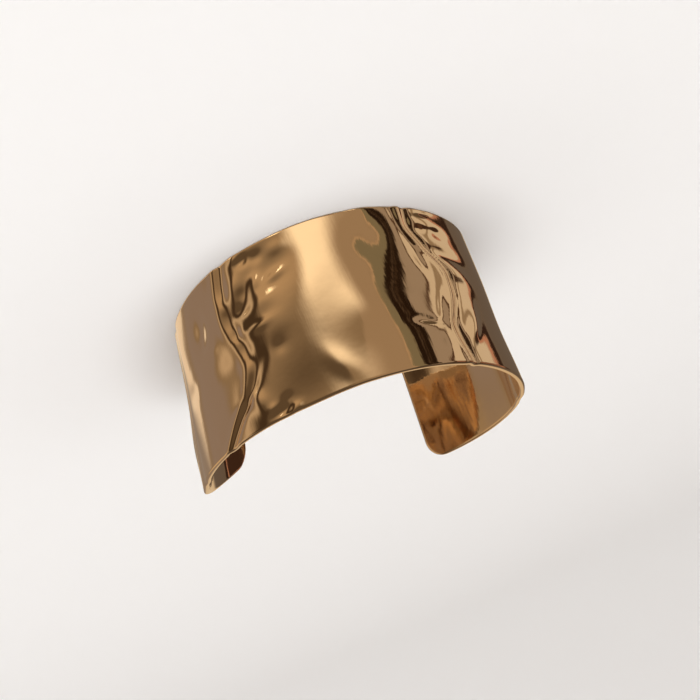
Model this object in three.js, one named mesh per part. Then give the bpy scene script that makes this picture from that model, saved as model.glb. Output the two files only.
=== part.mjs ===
// A wide cuff bracelet: one strip of gold-coloured brass sheet, rolled to fit a wrist and left open at the
// back, with dents and folds pressed into the whole wall. It lies on its side, on the flat rim.
// Millimetres, +Z up. The front of the cuff faces -Y and the gap between its ends faces +Y. Angles are
// measured round the cuff from the front, positive towards +X. The origin is under the middle of the cuff.

import * as THREE from 'three';
import { mergeVertices } from 'three/addons/utils/BufferGeometryUtils.js';

// Driving sizes
const meanRadius = 31;
const wallThickness = 1.0;
const bandHeight = 28.4;
const endAngle = 147.5;
const flatRimCornerRadius = 2.5;
const freeRimCornerRadius = 3.5;

// How far the outer outline departs from a circle, as shares of the mean radius
const outline = { depth: 0.08, point: 0.01, skew: 0.03, twist: 0.04 };

// The wall opens upwards by this share of its radius, and leans this far towards +X over its height
const flare = 0.06;
const lean = 3.2;

// The free rim's fall below bandHeight, in mm, as a polynomial in the share of a half turn from the front
const rimFall = [0.9, -3.5, 10, 18];

// Grid of the strip: cells along the band and up its height. Rows crowd towards both rims by rimCrowding.
const cellsAlong = 116;
const cellsUp = 16;
const rimCrowding = 0.6;

// Dents, each a smooth bell: centre, half width along the band, half height, rise (minus is inwards), and
// the turn of the bell in degrees, positive where its upper end lies towards -X at the front
const dents = [
  { angle: 67, height: 6.0, along: 4.0, up: 6.0, rise: 0.30, turn: 0 },
  { angle: 61, height: 14.5, along: 2.5, up: 1.6, rise: -0.14, turn: 0 },
  { angle: 48, height: 7.2, along: 2.0, up: 3.2, rise: -0.72, turn: 0 },
  { angle: 37, height: 16.0, along: 3.2, up: 2.6, rise: -0.42, turn: 0 },
  { angle: 37.5, height: 7.0, along: 1.6, up: 3.2, rise: 0.26, turn: 15 },
  { angle: 31, height: 5.0, along: 1.2, up: 2.2, rise: 0.30, turn: 0 },
  { angle: 30, height: 9.3, along: 1.6, up: 1.1, rise: -0.42, turn: 0 },
  { angle: 31, height: 24.2, along: 1.2, up: 2.4, rise: 0.42, turn: 25 },
  { angle: 24, height: 9.5, along: 2.2, up: 2.0, rise: 0.30, turn: 0 },
  { angle: 20, height: 5.0, along: 4.0, up: 4.5, rise: -0.50, turn: 0 },
  { angle: 18, height: 28.0, along: 5.0, up: 6.5, rise: -0.55, turn: 0 },
  { angle: 9, height: 9.5, along: 6.0, up: 8.0, rise: 0.45, turn: 0 },
  { angle: 8, height: 24.5, along: 1.3, up: 3.4, rise: 0.26, turn: 28 },
  { angle: -3, height: 17.0, along: 5.0, up: 4.6, rise: 0.50, turn: 0 },
  { angle: -8, height: 5.8, along: 3.2, up: 3.0, rise: -0.34, turn: 0 },
  { angle: -27, height: 12.5, along: 3.0, up: 3.0, rise: 0.22, turn: 0 },
  { angle: -35, height: 3.2, along: 4.6, up: 2.0, rise: 0.38, turn: 0 },
  { angle: -38, height: 8.2, along: 5.0, up: 1.2, rise: -0.30, turn: -6 },
  { angle: -41, height: 21.5, along: 1.5, up: 4.2, rise: 0.50, turn: -38 },
  { angle: -43, height: 12.0, along: 4.6, up: 1.8, rise: 0.40, turn: -8 },
  { angle: -60, height: 21.0, along: 5.0, up: 4.0, rise: -0.12, turn: 0 },
  { angle: -62, height: 9.0, along: 6.0, up: 7.0, rise: 0.15, turn: 0 },
  { angle: -80, height: 19.0, along: 5.5, up: 6.0, rise: -0.35, turn: 0 },
  { angle: -104, height: 10.0, along: 6.0, up: 7.0, rise: 0.40, turn: 0 },
  { angle: -126, height: 18.0, along: 4.5, up: 8.0, rise: -0.30, turn: 0 },
  { angle: 84, height: 8.0, along: 5.0, up: 6.0, rise: -0.35, turn: 0 },
  { angle: 98, height: 18.0, along: 5.0, up: 5.0, rise: 0.35, turn: 0 },
  { angle: 118, height: 9.0, along: 5.5, up: 6.0, rise: -0.30, turn: 0 },
  { angle: 136, height: 10.0, along: 4.5, up: 6.0, rise: 0.25, turn: 0 },
];

// Folds that run from rim to rim. Each row of a route is a height and the fold's angle there. The furrow
// sinks by sink over a half width of width, and the lip beside it, towards +X, rises by lip.
const folds = [
  {
    width: 1.0, sink: 0.36, lip: 0.22,
    route: [[0, 34], [5, 35], [10, 34.5], [14, 32], [19, 30.5], [22, 32.5], [25, 38], [28.4, 44]],
  },
  {
    width: 1.0, sink: 0.34, lip: 0.20,
    route: [[0, -26], [4, -25.5], [8, -31], [12, -37], [16, -37], [19, -34], [22, -31], [28.4, -33.5]],
  },
  {
    width: 1.8, sink: 0.25, lip: 0.15,
    route: [[0, 74], [9, 71], [19, 75], [28.4, 72]],
  },
  {
    width: 1.8, sink: 0.30, lip: 0.15,
    route: [[0, -92], [10, -96], [20, -90], [28.4, -94]],
  },
];
const lipShift = 1.3;

const radians = Math.PI / 180;

/** Outer radius of the cuff at an angle, before dents. */
function outerRadius(angle) {
  const turn = angle * radians;
  const share = 1 + outline.depth * Math.cos(2 * turn) + outline.point * Math.cos(3 * turn)
    + outline.skew * Math.sin(2 * turn) + outline.twist * Math.sin(3 * turn);
  return meanRadius * share;
}

/** Height of the free rim at an angle. */
function rimHeight(angle) {
  const share = angle / 180;
  const fall = rimFall.reduce((sum, factor, power) => sum + factor * share ** (power + 1), 0);
  return bandHeight - fall;
}

/** Bell curve: 1 at the middle, falling smoothly to nothing. */
function bell(distance, halfWidth) {
  return Math.exp(-((distance / halfWidth) ** 2));
}

/** A fold's angle at a height, on a smooth curve through the rows of its route. */
function foldAngle(route, height) {
  const last = route.length - 1;
  let row = 0;
  while (row < last - 1 && height > route[row + 1][0]) {
    row += 1;
  }
  const [h0, a0] = route[row];
  const [h1, a1] = route[row + 1];
  const before = route[Math.max(row - 1, 0)];
  const after = route[Math.min(row + 2, last)];
  const span = h1 - h0;
  const slope0 = (a1 - before[1]) / (h1 - before[0]);
  const slope1 = (after[1] - a0) / (after[0] - h0);
  const t = Math.min(Math.max((height - h0) / span, 0), 1);
  const t2 = t * t;
  const t3 = t2 * t;
  return (2 * t3 - 3 * t2 + 1) * a0 + (t3 - 2 * t2 + t) * span * slope0
    + (3 * t2 - 2 * t3) * a1 + (t3 - t2) * span * slope1;
}

/** How far the wall stands out of the plain outline at an angle and height, dents and folds together. */
function relief(angle, height) {
  let rise = 0;
  for (const dent of dents) {
    const away = (angle - dent.angle) * radians * meanRadius;
    const over = height - dent.height;
    const cosine = Math.cos(dent.turn * radians);
    const sine = Math.sin(dent.turn * radians);
    const across = bell(cosine * away + sine * over, dent.along);
    rise += dent.rise * across * bell(cosine * over - sine * away, dent.up);
  }
  for (const fold of folds) {
    const away = (angle - foldAngle(fold.route, height)) * radians * meanRadius;
    rise -= fold.sink * bell(away, fold.width);
    rise += fold.lip * bell(away - lipShift, fold.width);
  }
  return rise;
}

/** How far the end of the strip draws back at a height, so that both its corners are round. */
function cornerCut(height, top) {
  const cut = (distance, radius) => {
    const inset = Math.max(radius - distance, 0);
    return radius - Math.sqrt(radius * radius - inset * inset);
  };
  return cut(height, flatRimCornerRadius) + cut(top - height, freeRimCornerRadius);
}

/** Point of the wall: along is -1 to 1 from end to end, up is 0 to 1 from rim to rim. */
function wallPoint(along, up, depth) {
  const share = up - rimCrowding * Math.sin(2 * Math.PI * up) / (2 * Math.PI);
  const end = Math.sign(along) * endAngle;
  const endTop = rimHeight(end);
  const drawBack = cornerCut(share * endTop, endTop) / (outerRadius(end) * radians);
  const angle = along * (endAngle - drawBack);
  const height = share * rimHeight(angle);
  const radius = outerRadius(angle) + relief(angle, height) - depth;
  const level = height / bandHeight - 0.5;
  const turn = angle * radians;
  return new THREE.Vector3(
    radius * Math.sin(turn) * (1 + flare * level) + lean * level,
    -radius * Math.cos(turn) * (1 + flare * level),
    height,
  );
}

/** The strip as one closed solid: a box of cells bent round the wrist, with its middle over the origin. */
function bandGeometry() {
  const box = new THREE.BoxGeometry(2, 1, wallThickness, cellsAlong, cellsUp, 1);
  box.deleteAttribute('normal');
  box.deleteAttribute('uv');
  box.translate(0, 0.5, -wallThickness / 2);
  const place = box.attributes.position;
  for (let i = 0; i < place.count; i += 1) {
    const point = wallPoint(place.getX(i), place.getY(i), -place.getZ(i));
    place.setXYZ(i, point.x, point.y, point.z);
  }
  const bent = mergeVertices(box);
  bent.computeVertexNormals();
  bent.computeBoundingBox();
  const middle = bent.boundingBox.getCenter(new THREE.Vector3());
  bent.translate(-middle.x, -middle.y, 0);
  return bent;
}

const polishedBrass = new THREE.MeshStandardMaterial({ color: 0xb98c5a, roughness: 0.16, metalness: 1.0 });
const cuffBand = new THREE.Mesh(bandGeometry(), polishedBrass);
cuffBand.name = 'cuff_band';

const cuff = new THREE.Group();
cuff.add(cuffBand);

export default cuff;
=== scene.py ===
import math

import bpy
import numpy as np
from mathutils import Matrix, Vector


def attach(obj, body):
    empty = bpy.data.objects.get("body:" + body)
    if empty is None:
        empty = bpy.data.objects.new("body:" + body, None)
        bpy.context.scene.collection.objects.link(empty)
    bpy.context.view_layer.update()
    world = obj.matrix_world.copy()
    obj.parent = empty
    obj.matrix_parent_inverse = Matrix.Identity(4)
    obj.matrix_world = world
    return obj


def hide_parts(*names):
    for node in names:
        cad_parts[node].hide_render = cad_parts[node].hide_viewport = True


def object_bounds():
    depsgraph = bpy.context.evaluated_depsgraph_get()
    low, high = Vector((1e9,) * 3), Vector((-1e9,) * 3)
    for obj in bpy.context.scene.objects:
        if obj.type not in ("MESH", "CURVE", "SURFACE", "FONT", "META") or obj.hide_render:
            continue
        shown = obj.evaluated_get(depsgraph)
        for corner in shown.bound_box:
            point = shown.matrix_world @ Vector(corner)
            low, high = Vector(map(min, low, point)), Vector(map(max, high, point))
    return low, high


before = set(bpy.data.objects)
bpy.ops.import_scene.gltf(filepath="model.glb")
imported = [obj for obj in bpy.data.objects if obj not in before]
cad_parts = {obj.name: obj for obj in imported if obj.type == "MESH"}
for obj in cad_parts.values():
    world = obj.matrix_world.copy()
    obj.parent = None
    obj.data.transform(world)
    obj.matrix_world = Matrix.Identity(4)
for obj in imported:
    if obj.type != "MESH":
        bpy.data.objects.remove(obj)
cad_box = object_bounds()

# ---------------------------------------------------------------- driving sizes, in mm and degrees
MM = 0.001
MEAN_RADIUS = 31.0
WALL = 1.0
BAND_HEIGHT = 28.4
END_ANGLE = 147.5
FLAT_RIM_CORNER = 2.5
FREE_RIM_CORNER = 3.5
OUTLINE = {"depth": 0.08, "point": 0.01, "skew": 0.03, "twist": 0.04}
FLARE = 0.06
LEAN = 3.2
RIM_FALL = (0.9, -3.5, 10.0, 18.0)
EDGE_ROUND = 0.3
CELLS_ALONG = 460
CELLS_UP = 96
CROWDING = 0.6

# Dents: centre angle, centre height, half width along the band, half height, rise (minus is inwards), turn
DENTS = (
    # left flank
    (67, 6.0, 4.0, 6.0, 0.30, 0),
    (61, 14.5, 2.5, 1.6, -0.14, 0),
    (48, 7.2, 2.0, 3.2, -0.72, 0),
    (42.5, 12.0, 0.8, 0.6, 0.08, 0),
    (48, 25.0, 0.8, 1.2, 0.10, 20),
    (37, 16.0, 3.2, 2.6, -0.42, 0),
    (37.5, 7.0, 1.6, 3.2, 0.26, 15),
    # crumples right of the long fold
    (31, 5.0, 1.2, 2.2, 0.30, 0),
    (30.0, 9.3, 1.6, 1.1, -0.42, 0),
    (27.5, 13.4, 2.2, 0.7, 0.30, 8),
    (26.5, 1.6, 1.0, 0.9, -0.30, 0),
    (29, 0.8, 0.8, 0.8, 0.22, 0),
    (24, 9.5, 2.2, 2.0, 0.30, 0),
    (24.5, 6.2, 1.0, 1.4, 0.24, -20),
    (28, 7.2, 1.1, 1.4, -0.26, 0),
    (19, 6.6, 1.6, 0.8, 0.20, 15),
    (22.5, 14.0, 2.4, 2.4, 0.24, 0),
    (22, 17.8, 0.9, 1.0, -0.14, 20),
    (35, 7.0, 1.0, 1.3, 0.22, 0),
    (33.2, 12.4, 0.9, 0.9, -0.20, 0),
    (31, 18.2, 0.9, 1.5, 0.18, 0),
    (35.5, 23.0, 1.1, 1.3, -0.20, 20),
    (27.5, 26.4, 0.8, 0.8, 0.20, 0),
    (23.6, 25.8, 0.7, 0.7, -0.16, 0),
    (28, 18.0, 1.2, 2.0, -0.20, -15),
    (31.5, 12.4, 1.0, 0.9, 0.24, 0),
    (17, 2.4, 1.6, 1.2, 0.14, 0),
    (22.5, 2.2, 1.2, 1.0, -0.18, 0),
    (20, 5.0, 4.0, 4.5, -0.50, 0),
    (31, 24.2, 1.2, 2.4, 0.42, 25),
    (25, 27.2, 1.4, 0.9, -0.36, 0),
    (22, 27.6, 0.9, 0.8, 0.22, 0),
    # the broad swelling at the front and the arched hollow above it
    (9, 9.5, 6.0, 8.0, 0.45, 0),
    (18, 28.0, 5.0, 6.5, -0.55, 0),
    (8, 24.5, 1.3, 3.4, 0.26, 28),
    (-3, 17.0, 5.0, 4.6, 0.50, 0),
    (-8, 5.8, 3.2, 3.0, -0.34, 0),
    (-9.5, 0.3, 2.5, 1.8, 0.24, 0),
    # right flank
    (-21.7, 3.5, 0.9, 4.5, -0.13, 15),
    (-35, 3.2, 4.6, 2.0, 0.38, 0),
    (-36, 0.8, 2.0, 0.7, -0.16, 0),
    (-30, 4.2, 2.2, 1.2, -0.30, 0),
    (-40, 4.4, 2.8, 1.2, -0.36, 0),
    (-38, 8.2, 5.0, 1.2, -0.30, -6),
    (-27, 12.5, 3.0, 3.0, 0.22, 0),
    (-25, 10.5, 1.0, 2.4, -0.14, 20),
    (-43, 12.0, 4.6, 1.8, 0.40, -8),
    (-19.5, 20.8, 2.4, 0.6, -0.24, -8),
    (-27, 18.5, 0.9, 3.6, -0.20, -25),
    (-41, 21.5, 1.5, 4.2, 0.50, -38),
    (-25, 24.5, 1.6, 2.5, 0.18, 0),
    (-62, 9.0, 6.0, 7.0, 0.15, 0),
    (-60, 21.0, 5.0, 4.0, -0.12, 0),
    # round the sides to the ends
    (-80, 19.0, 5.5, 6.0, -0.35, 0),
    (-104, 10.0, 6.0, 7.0, 0.40, 0),
    (-126, 18.0, 4.5, 8.0, -0.30, 0),
    (84, 8.0, 5.0, 6.0, -0.35, 0),
    (98, 18.0, 5.0, 5.0, 0.35, 0),
    (118, 9.0, 5.5, 6.0, -0.30, 0),
    (136, 10.0, 4.5, 6.0, 0.25, 0),
)

# Folds from rim to rim: half width, sink of the furrow, rise of the lip beside it, route of (height, angle)
FOLDS = (
    (1.0, 0.36, 0.22, ((0, 34), (5, 35), (10, 34.5), (14, 32), (19, 30.5), (22, 32.5), (25, 38), (28.4, 44))),
    (1.0, 0.34, 0.20, ((0, -26), (4, -25.5), (8, -31), (12, -37), (16, -37), (19, -34), (22, -31), (28.4, -33.5))),
    (1.8, 0.25, 0.15, ((0, 74), (9, 71), (19, 75), (28.4, 72))),
    (1.8, 0.30, 0.15, ((0, -92), (10, -96), (20, -90), (28.4, -94))),
)
LIP_SHIFT = 1.3


# ---------------------------------------------------------------- the cuff's shape
def outer_radius(angle):
    """Outer radius before dents: the mean radius times 1 plus small cosines and sines of 2 and 3 times the angle."""
    turn = np.radians(angle)
    share = 1 + OUTLINE["depth"] * np.cos(2 * turn) + OUTLINE["point"] * np.cos(3 * turn)
    share += OUTLINE["skew"] * np.sin(2 * turn) + OUTLINE["twist"] * np.sin(3 * turn)
    return MEAN_RADIUS * share


def rim_height(angle):
    """Height of the free rim: the band's height less a polynomial in the share of a half turn."""
    share = angle / 180
    fall = sum(factor * share ** (power + 1) for power, factor in enumerate(RIM_FALL))
    return BAND_HEIGHT - fall


def bell(distance, half_width):
    """exp(-(distance / half width) squared)."""
    return np.exp(-((distance / half_width) ** 2))


def fold_angle(route, height):
    """Angle of a fold at each height: cubic Hermite pieces through the rows of the route."""
    rows = np.array(route, dtype=float)
    h, a = rows[:, 0], rows[:, 1]
    slope = np.empty_like(a)
    slope[1:-1] = (a[2:] - a[:-2]) / (h[2:] - h[:-2])
    slope[0] = (a[1] - a[0]) / (h[1] - h[0])
    slope[-1] = (a[-1] - a[-2]) / (h[-1] - h[-2])
    k = np.clip(np.searchsorted(h, height, side="right") - 1, 0, len(h) - 2)
    span = h[k + 1] - h[k]
    t = np.clip((height - h[k]) / span, 0, 1)
    start = (2 * t**3 - 3 * t**2 + 1) * a[k] + (t**3 - 2 * t**2 + t) * span * slope[k]
    return start + (3 * t**2 - 2 * t**3) * a[k + 1] + (t**3 - t**2) * span * slope[k + 1]


def relief(angle, height):
    """Rise of the wall out of the plain outline: the sum of the dents' bells and the folds' furrows and lips."""
    rise = np.zeros(np.broadcast(angle, height).shape)
    for centre, level, along, up, amount, turn in DENTS:
        x = np.radians(angle - centre) * MEAN_RADIUS
        y = height - level
        c, s = math.cos(math.radians(turn)), math.sin(math.radians(turn))
        rise += amount * bell(c * x + s * y, along) * bell(c * y - s * x, up)
    for width, sink, lip, route in FOLDS:
        away = np.radians(angle - fold_angle(route, height)) * MEAN_RADIUS
        rise += lip * bell(away - LIP_SHIFT, width) - sink * bell(away, width)
    return rise


def corner_cut(distance, radius):
    """How far a round corner draws the end back, at a distance from the rim."""
    inset = np.maximum(radius - distance, 0)
    return radius - np.sqrt(radius**2 - inset**2)


def crowd(share):
    """Moves evenly spaced shares, 0 to 1, towards both ends: share less a sine of one full turn."""
    return share - CROWDING * np.sin(2 * np.pi * share) / (2 * np.pi)


def wall_points(side):
    """Points of one face of the wall on a grid of (up, along). side is 0 outside and 1 inside.

    The angle runs from end to end, drawn back at the corners, and the height from rim to rim. The radius is
    the outline plus the relief less the wall's depth. Depth keeps WALL / 2 each side of the middle, less a
    quarter round within EDGE_ROUND of the outline.
    """
    along = np.linspace(-1, 1, CELLS_ALONG + 1)[None, :]
    share = crowd(np.linspace(0, 1, CELLS_UP + 1))[:, None]
    end = np.sign(along) * END_ANGLE
    end_top = rim_height(end)
    drawn = corner_cut(share * end_top, FLAT_RIM_CORNER) + corner_cut((1 - share) * end_top, FREE_RIM_CORNER)
    end_reach = END_ANGLE - drawn / np.radians(outer_radius(end))
    angle = along * end_reach
    height = share * rim_height(angle)
    from_end = (1 - np.abs(along)) * np.radians(END_ANGLE) * MEAN_RADIUS
    from_rim = np.minimum(height, rim_height(angle) - height)
    inset = np.maximum(EDGE_ROUND - np.minimum(from_end, from_rim), 0)
    edge = EDGE_ROUND - np.sqrt(EDGE_ROUND**2 - inset**2)
    depth = edge if side == 0 else WALL - edge
    radius = outer_radius(angle) + relief(angle, height) - depth
    level = height / BAND_HEIGHT - 0.5
    turn = np.radians(angle)
    x = radius * np.sin(turn) * (1 + FLARE * level) + LEAN * level
    y = -radius * np.cos(turn) * (1 + FLARE * level)
    return np.stack([x, y, height + 0 * x], axis=-1), np.stack([angle + 0 * x, height + 0 * x], axis=-1)


def band_mesh(name):
    """Joins the outer and inner grids into one closed mesh, with a strip of faces all round their shared edge."""
    outer, place_out = wall_points(0)
    inner, place_in = wall_points(1)
    rows, columns = outer.shape[:2]
    count = rows * columns
    index = np.arange(count).reshape(rows, columns)
    quads = np.stack([index[:-1, :-1], index[:-1, 1:], index[1:, 1:], index[1:, :-1]], axis=-1).reshape(-1, 4)
    ring = np.concatenate([index[0, :-1], index[:-1, -1], index[-1, :0:-1], index[:0:-1, 0]])
    ahead = np.roll(ring, -1)
    edge = np.stack([ahead, ring, ring + count, ahead + count], axis=-1)
    faces = np.concatenate([quads, quads[:, ::-1] + count, edge])
    points = np.concatenate([outer.reshape(-1, 3), inner.reshape(-1, 3)]) * MM
    middle = (points.min(axis=0) + points.max(axis=0)) / 2
    cad_middle = (np.array(cad_box[0]) + np.array(cad_box[1])) / 2
    points[:, :2] += (cad_middle - middle)[:2]
    mesh = bpy.data.meshes.new(name)
    mesh.vertices.add(len(points))
    mesh.vertices.foreach_set("co", points.ravel())
    mesh.loops.add(faces.size)
    mesh.loops.foreach_set("vertex_index", faces.ravel().astype(np.int32))
    mesh.polygons.add(len(faces))
    mesh.polygons.foreach_set("loop_start", np.arange(0, faces.size, 4, dtype=np.int32))
    mesh.polygons.foreach_set("use_smooth", np.ones(len(faces), dtype=bool))
    mesh.update(calc_edges=True)
    mesh.validate()
    return mesh


# ---------------------------------------------------------------- finish
def node(tree, kind, **values):
    """Adds a shader node and sets its plain settings."""
    made = tree.nodes.new(kind)
    for key, value in values.items():
        setattr(made, key, value)
    return made


def polished_brass():
    """Gold-coloured brass, polished bright: hairline scratches and a faint ripple in the bump, and patches
    that are a little duller where the polish has worn."""
    material = bpy.data.materials.new("polished_brass")
    material.use_nodes = True
    tree = material.node_tree
    link = tree.links.new
    metal = tree.nodes["Principled BSDF"]
    metal.inputs["Base Color"].default_value = (0.86, 0.70, 0.53, 1)
    metal.inputs["Metallic"].default_value = 1.0
    where = node(tree, "ShaderNodeTexCoord")

    patches = node(tree, "ShaderNodeTexNoise")
    patches.inputs["Scale"].default_value = 110.0
    patches.inputs["Detail"].default_value = 3.0
    link(where.outputs["Object"], patches.inputs["Vector"])
    dulling = node(tree, "ShaderNodeMapRange")
    dulling.inputs["From Min"].default_value = 0.45
    dulling.inputs["From Max"].default_value = 0.75
    dulling.inputs["To Min"].default_value = 0.045
    dulling.inputs["To Max"].default_value = 0.13
    link(patches.outputs["Fac"], dulling.inputs["Value"])
    link(dulling.outputs[0], metal.inputs["Roughness"])

    stretch = node(tree, "ShaderNodeMapping")
    stretch.inputs["Rotation"].default_value = (0.5, 0.35, 0.2)
    stretch.inputs["Scale"].default_value = (2200.0, 2200.0, 160.0)
    link(where.outputs["Object"], stretch.inputs["Vector"])
    hairlines = node(tree, "ShaderNodeTexNoise")
    hairlines.inputs["Scale"].default_value = 1.0
    hairlines.inputs["Detail"].default_value = 2.0
    link(stretch.outputs["Vector"], hairlines.inputs["Vector"])
    ripple = node(tree, "ShaderNodeTexNoise")
    ripple.inputs["Scale"].default_value = 420.0
    ripple.inputs["Detail"].default_value = 2.0
    link(where.outputs["Object"], ripple.inputs["Vector"])
    ripple_bump = node(tree, "ShaderNodeBump")
    ripple_bump.inputs["Strength"].default_value = 1.0
    ripple_bump.inputs["Distance"].default_value = 0.000012
    link(ripple.outputs["Fac"], ripple_bump.inputs["Height"])
    hairline_bump = node(tree, "ShaderNodeBump")
    hairline_bump.inputs["Strength"].default_value = 1.0
    hairline_bump.inputs["Distance"].default_value = 0.000004
    link(hairlines.outputs["Fac"], hairline_bump.inputs["Height"])
    link(ripple_bump.outputs["Normal"], hairline_bump.inputs["Normal"])
    link(hairline_bump.outputs["Normal"], metal.inputs["Normal"])
    return material


band = bpy.data.objects.new("cuff_skin", band_mesh("cuff_skin"))
bpy.context.scene.collection.objects.link(band)
band.data.materials.append(polished_brass())
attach(band, "root")
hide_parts("cuff_band")


# ---------------------------------------------------------------- studio
def studio_bowl(name, floor_radius, curve_radius, wall_top, colour):
    """A pale floor that curves up into a round wall: a profile of a flat run, a quarter arc and a straight
    rise, turned about Z."""
    arc = np.linspace(0, math.pi / 2, 25)
    reach = np.concatenate([[0.001, floor_radius / 2], floor_radius + curve_radius * np.sin(arc), [floor_radius + curve_radius]])
    rise = np.concatenate([[0, 0], curve_radius * (1 - np.cos(arc)), [wall_top]])
    turn = np.linspace(0, 2 * np.pi, 96, endpoint=False)[:, None]
    points = np.stack([reach * np.cos(turn), reach * np.sin(turn), rise + 0 * turn], axis=-1)
    index = np.arange(points[..., 0].size).reshape(points.shape[:2])
    ahead = np.roll(index, -1, axis=0)
    quads = np.stack([index[:, :-1], index[:, 1:], ahead[:, 1:], ahead[:, :-1]], axis=-1).reshape(-1, 4)
    mesh = bpy.data.meshes.new(name)
    mesh.from_pydata(points.reshape(-1, 3).tolist(), [], [*quads.tolist(), index[::-1, 0].tolist()])
    mesh.polygons.foreach_set("use_smooth", [True] * len(mesh.polygons))
    bowl = bpy.data.objects.new(name, mesh)
    bpy.context.scene.collection.objects.link(bowl)
    paint = bpy.data.materials.new(name)
    paint.use_nodes = True
    paint.node_tree.nodes["Principled BSDF"].inputs["Base Color"].default_value = (*colour, 1)
    paint.node_tree.nodes["Principled BSDF"].inputs["Roughness"].default_value = 0.9
    mesh.materials.append(paint)
    return bowl


floor = studio_bowl("floor", 0.6, 0.6, 1.4, (0.93, 0.93, 0.93))
floor.visible_glossy = False

world = bpy.data.worlds.new("studio")
bpy.context.scene.world = world
world.use_nodes = True
tree = world.node_tree
sky = tree.nodes["Background"]
sky.inputs["Strength"].default_value = 1.0


def directions(tree):
    """Azimuth, -180 to 180 from the front (-Y) towards +X, and elevation in degrees, of each direction."""
    where = tree.nodes.new("ShaderNodeTexCoord")
    split = tree.nodes.new("ShaderNodeSeparateXYZ")
    tree.links.new(where.outputs["Generated"], split.inputs[0])
    flip = node(tree, "ShaderNodeMath", operation="MULTIPLY")
    flip.inputs[1].default_value = -1
    tree.links.new(split.outputs["Y"], flip.inputs[0])
    turn = node(tree, "ShaderNodeMath", operation="ARCTAN2")
    tree.links.new(split.outputs["X"], turn.inputs[0])
    tree.links.new(flip.outputs[0], turn.inputs[1])
    azimuth = node(tree, "ShaderNodeMath", operation="DEGREES")
    tree.links.new(turn.outputs[0], azimuth.inputs[0])
    rise = node(tree, "ShaderNodeMath", operation="ARCSINE")
    tree.links.new(split.outputs["Z"], rise.inputs[0])
    elevation = node(tree, "ShaderNodeMath", operation="DEGREES")
    tree.links.new(rise.outputs[0], elevation.inputs[0])
    return azimuth.outputs[0], elevation.outputs[0]


def window(tree, value, low, high, soft):
    """1 between low and high and 0 outside, with edges soft degrees wide."""
    up = node(tree, "ShaderNodeMapRange", interpolation_type="SMOOTHSTEP")
    up.inputs["From Min"].default_value = low - soft
    up.inputs["From Max"].default_value = low + soft
    down = node(tree, "ShaderNodeMapRange", interpolation_type="SMOOTHSTEP")
    down.inputs["From Min"].default_value = high + soft
    down.inputs["From Max"].default_value = high - soft
    tree.links.new(value, up.inputs["Value"])
    tree.links.new(value, down.inputs["Value"])
    both = node(tree, "ShaderNodeMath", operation="MULTIPLY")
    tree.links.new(up.outputs[0], both.inputs[0])
    tree.links.new(down.outputs[0], both.inputs[1])
    return both.outputs[0]


azimuth, elevation = directions(tree)

# Parts of the studio seen in the metal: azimuth from, to, elevation from, to, softness, colour
PANELS = (
    (10, 64, -90, -38, 9, (0.72, 0.58, 0.42)),
    (2, 62, -25, 40, 7, (0.17, 0.135, 0.10)),
    (-180, -126, -90, 90, 3, (0.20, 0.18, 0.18)),
    (-180, -154, -90, 90, 4, (0.95, 0.85, 0.70)),
    (-127, -122.5, -90, 90, 0.7, (0.05, 0.03, 0.025)),
    (-122.5, -119.5, -90, 90, 0.6, (0.70, 0.38, 0.30)),
    (-119.5, -88, -90, 90, 0.8, (0.92, 0.88, 0.82)),
    (-106, -99, -90, 90, 2.0, (0.45, 0.38, 0.30)),
    (-121, -86, -10, -2, 0.8, (0.07, 0.04, 0.03)),
    (-121, -86, -2, 12, 1.0, (0.70, 0.38, 0.30)),
    (-121, -86, 12, 90, 1.0, (0.06, 0.04, 0.03)),
    (-121, -86, -37, -28, 0.8, (0.16, 0.13, 0.10)),
    (-88, -85, -90, 90, 0.7, (0.12, 0.07, 0.05)),
    (-85, -77, -90, 90, 1, (0.50, 0.45, 0.42)),
    (-77, -66, -90, 90, 0.7, (0.03, 0.018, 0.012)),
    (-71.4, -70.6, -90, 90, 0.3, (0.12, 0.09, 0.07)),
    (-73.2, -72.6, -90, 90, 0.3, (0.10, 0.07, 0.05)),
    (-66, -58, -90, 90, 0.8, (0.31, 0.30, 0.23)),
    (-59, -57.6, -90, 90, 0.5, (0.75, 0.58, 0.42)),
    (-57.6, -26, -90, 90, 2, (0.52, 0.43, 0.34)),
    (-34, 12, -62, -26, 10, (1.8, 1.75, 1.6)),
    (60, 82, -90, 90, 8, (0.09, 0.065, 0.045)),
    (86, 98, -90, 90, 7, (0.80, 0.70, 0.58)),
    (108, 146, -42, -16, 6, (0.42, 0.38, 0.40)),
    (102, 149, -12, 30, 5, (0.90, 0.76, 0.58)),
    (102, 149, -70, -45, 5, (0.90, 0.76, 0.58)),
    (150, 180, -90, 90, 2, (0.42, 0.39, 0.40)),
    (150, 180, -90, -22, 2, (1.25, 1.2, 1.16)),
    (20, 34, -60, -49, 3, (4, 4, 3.6)),
    (102, 110, -62, -54, 2, (5, 5, 4.6)),
    (-64, -55, -54, -46, 2, (5, 5, 4.6)),
    (-180, 180, 38, 91, 8, (0.14, 0.12, 0.11)),
)
BASE_TONE = (0.40, 0.33, 0.25)
WARMTH = (0.70, 0.57, 0.41)
colour = node(tree, "ShaderNodeRGB")
colour.outputs[0].default_value = (*(t * w for t, w in zip(BASE_TONE, WARMTH)), 1)
shade = colour.outputs[0]
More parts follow.
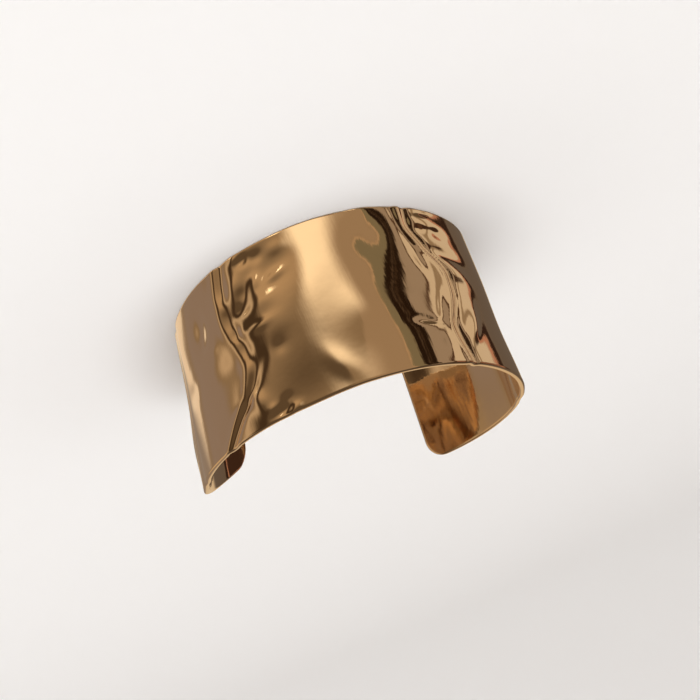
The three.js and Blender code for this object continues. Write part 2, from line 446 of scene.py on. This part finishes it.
for low, high, bottom, top, soft, tone in PANELS:
    across = window(tree, azimuth, low, high, soft)
    upward = window(tree, elevation, bottom, top, soft)
    inside = node(tree, "ShaderNodeMath", operation="MULTIPLY")
    tree.links.new(across, inside.inputs[0])
    tree.links.new(upward, inside.inputs[1])
    mix = node(tree, "ShaderNodeMix", data_type="RGBA")
    tree.links.new(inside.outputs[0], mix.inputs["Factor"])
    tree.links.new(shade, mix.inputs["A"])
    mix.inputs["B"].default_value = (*(t * w for t, w in zip(tone, WARMTH)), 1)
    shade = mix.outputs["Result"]
tree.links.new(shade, sky.inputs["Color"])

# ---------------------------------------------------------------- camera
CAMERA_AZIMUTH = 12.6
CAMERA_ELEVATION = 18.1
CAMERA_ROLL = 156.6
CAMERA_DISTANCE = 220
AIM = (-1.7, -1.1, 12.9)
FOCAL_LENGTH = 65.7

a, e, roll = (math.radians(v) for v in (CAMERA_AZIMUTH, CAMERA_ELEVATION, CAMERA_ROLL))
back = np.array([math.sin(a) * math.cos(e), -math.cos(a) * math.cos(e), math.sin(e)])
level_right = np.array([math.cos(a), math.sin(a), 0.0])
level_up = np.cross(back, level_right)
right = math.cos(roll) * level_right + math.sin(roll) * level_up
up = np.cross(back, right)
place = (np.array(AIM) + CAMERA_DISTANCE * back) * MM
lens = bpy.data.cameras.new("camera")
lens.lens = FOCAL_LENGTH
lens.clip_start = 0.01
camera = bpy.data.objects.new("camera", lens)
pose = np.eye(4)
pose[:3, 0], pose[:3, 1], pose[:3, 2], pose[:3, 3] = right, up, back, place
camera.matrix_world = Matrix(pose.tolist())
bpy.context.scene.collection.objects.link(camera)
bpy.context.scene.camera = camera

# ---------------------------------------------------------------- light and tone
def lamp(name, size, power, place, colour=(1, 1, 1)):
    """A soft square lamp that points at the cuff."""
    light = bpy.data.lights.new(name, "AREA")
    light.size = size
    light.energy = power
    light.color = colour
    made = bpy.data.objects.new(name, light)
    made.location = place
    toward = (made.location * -1).to_track_quat("-Z", "Y")
    made.rotation_euler = toward.to_euler()
    bpy.context.scene.collection.objects.link(made)
    return made


top_light = lamp("top_light", 1.2, 12.5, (0.2, -0.3, 1.2))
top_light.visible_glossy = False
bpy.context.scene.view_settings.view_transform = "Standard"
